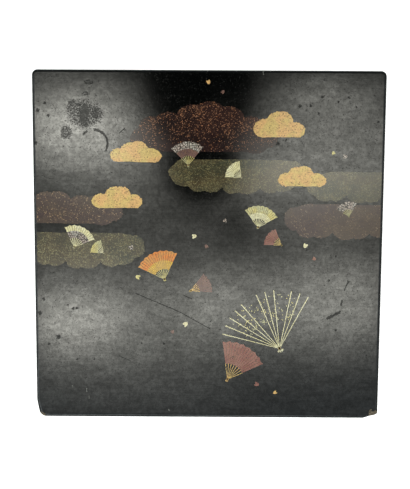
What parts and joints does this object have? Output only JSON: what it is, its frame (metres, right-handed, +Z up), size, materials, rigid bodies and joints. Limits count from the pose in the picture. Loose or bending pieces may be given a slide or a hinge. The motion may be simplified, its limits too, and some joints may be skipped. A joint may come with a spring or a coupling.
{
  "type": "writing box",
  "caption": "Square black lacquered writing box with an overhanging flat lid over an inkstone, a water dropper and two trays of brushes and tools.",
  "frame": {"origin": "middle of the box's underside, on the plane that the feet stand on", "axes": "+Z up, +X to the right of the person writing, +Y away from them"},
  "size_m": [0.24, 0.24, 0.046],
  "materials": {
    "black_lacquer": "black urushi lacquer on wood, polished and aged",
    "speckled_lacquer": "dark aubergine lacquer sprinkled with fine gold flakes",
    "slate": "fine slate, honed",
    "patinated_copper": "cast copper alloy with a brown patina",
    "bamboo": "polished bamboo",
    "horn": "polished dark horn",
    "brass": "satin brass",
    "hair": "brown animal hair",
    "steel": "ground steel",
    "pressed_ink": "pressed soot ink, matt"
  },
  "bodies": {
    "box": {"box_floor": "black_lacquer", "box_side_front": "black_lacquer", "box_side_right": "black_lacquer", "box_side_rear": "black_lacquer", "box_side_left": "black_lacquer", "foot_front": "black_lacquer", "foot_right": "black_lacquer", "foot_rear": "black_lacquer", "foot_left": "black_lacquer"},
    "lid": {"lid_board": "black_lacquer", "lid_side_front": "black_lacquer", "lid_side_right": "black_lacquer", "lid_side_rear": "black_lacquer", "lid_side_left": "black_lacquer"},
    "insert_board": {"insert_board": "speckled_lacquer"},
    "inkstone": {"inkstone": "slate"},
    "water_dropper": {"dropper_shell": "patinated_copper", "dropper_base": "patinated_copper", "dropper_spout": "patinated_copper"},
    "left_tray": {"left_tray_floor": "speckled_lacquer", "left_tray_outer_side": "speckled_lacquer", "left_tray_inner_side": "speckled_lacquer", "left_tray_front_end": "speckled_lacquer", "left_tray_rear_end": "speckled_lacquer", "brush_rest_front": "speckled_lacquer", "brush_rest_rear": "speckled_lacquer"},
    "right_tray": {"right_tray_floor": "speckled_lacquer", "right_tray_outer_side": "speckled_lacquer", "right_tray_inner_side": "speckled_lacquer", "right_tray_front_end": "speckled_lacquer", "right_tray_rear_end": "speckled_lacquer", "tool_rest_front": "speckled_lacquer", "tool_rest_rear": "speckled_lacquer", "tray_divider": "speckled_lacquer"},
    "ink_stick": {"ink_stick": "pressed_ink"},
    "awl": {"awl_handle": "speckled_lacquer", "awl_pommel": "brass", "awl_collar": "brass", "awl_spike": "steel"},
    "knife": {"knife_handle": "speckled_lacquer", "knife_pommel": "brass", "knife_collar": "brass", "knife_blade": "steel"},
    "brush_1": {"brush_1_shaft": "bamboo", "brush_1_bead": "horn", "brush_1_ferrule": "brass", "brush_1_hair": "hair"},
    "brush_1_cap": {"brush_1_cap": "bamboo"},
    "brush_2": {"brush_2_shaft": "bamboo", "brush_2_bead": "horn", "brush_2_ferrule": "brass", "brush_2_hair": "hair"},
    "brush_2_cap": {"brush_2_cap": "bamboo"}
  },
  "joints": [
    {"name": "lid_lift", "type": "slide", "parent": "box", "child": "lid", "axis": [0, 0, 1], "range_m": [0, 0.25]},
    {"name": "insert_board_lift", "type": "slide", "parent": "box", "child": "insert_board", "axis": [0, 0, 1], "range_m": [0, 0.05]},
    {"name": "inkstone_lift", "type": "slide", "parent": "insert_board", "child": "inkstone", "axis": [0, 0, 1], "range_m": [0, 0.03]},
    {"name": "water_dropper_lift", "type": "slide", "parent": "insert_board", "child": "water_dropper", "axis": [0, 0, 1], "range_m": [0, 0.04]},
    {"name": "left_tray_lift", "type": "slide", "parent": "insert_board", "child": "left_tray", "axis": [0, 0, 1], "range_m": [0, 0.07]},
    {"name": "right_tray_lift", "type": "slide", "parent": "insert_board", "child": "right_tray", "axis": [0, 0, 1], "range_m": [0, 0.07]},
    {"name": "brush_1_lift", "type": "slide", "parent": "left_tray", "child": "brush_1", "axis": [0, 0, 1], "range_m": [0, 0.03]},
    {"name": "brush_2_lift", "type": "slide", "parent": "left_tray", "child": "brush_2", "axis": [0, 0, 1], "range_m": [0, 0.03]},
    {"name": "ink_stick_lift", "type": "slide", "parent": "right_tray", "child": "ink_stick", "axis": [0, 0, 1], "range_m": [0, 0.04]},
    {"name": "awl_lift", "type": "slide", "parent": "right_tray", "child": "awl", "axis": [0, 0, 1], "range_m": [0, 0.03]},
    {"name": "knife_lift", "type": "slide", "parent": "right_tray", "child": "knife", "axis": [0, 0, 1], "range_m": [0, 0.03]},
    {"name": "brush_1_cap_pull", "type": "slide", "parent": "brush_1", "child": "brush_1_cap", "axis": [0, 1, 0], "range_m": [0, 0.04]},
    {"name": "brush_2_cap_pull", "type": "slide", "parent": "brush_2", "child": "brush_2_cap", "axis": [0, 1, 0], "range_m": [0, 0.04]}
  ],
  "couplings": [
    {"joint": "insert_board_lift", "follows": "lid_lift", "ratio": 0.2},
    {"joint": "inkstone_lift", "follows": "lid_lift", "ratio": 0.12},
    {"joint": "water_dropper_lift", "follows": "lid_lift", "ratio": 0.16},
    {"joint": "left_tray_lift", "follows": "lid_lift", "ratio": 0.28},
    {"joint": "right_tray_lift", "follows": "lid_lift", "ratio": 0.28},
    {"joint": "brush_1_lift", "follows": "lid_lift", "ratio": 0.12},
    {"joint": "brush_2_lift", "follows": "lid_lift", "ratio": 0.12},
    {"joint": "ink_stick_lift", "follows": "lid_lift", "ratio": 0.16},
    {"joint": "awl_lift", "follows": "lid_lift", "ratio": 0.12},
    {"joint": "knife_lift", "follows": "lid_lift", "ratio": 0.12}
  ]
}
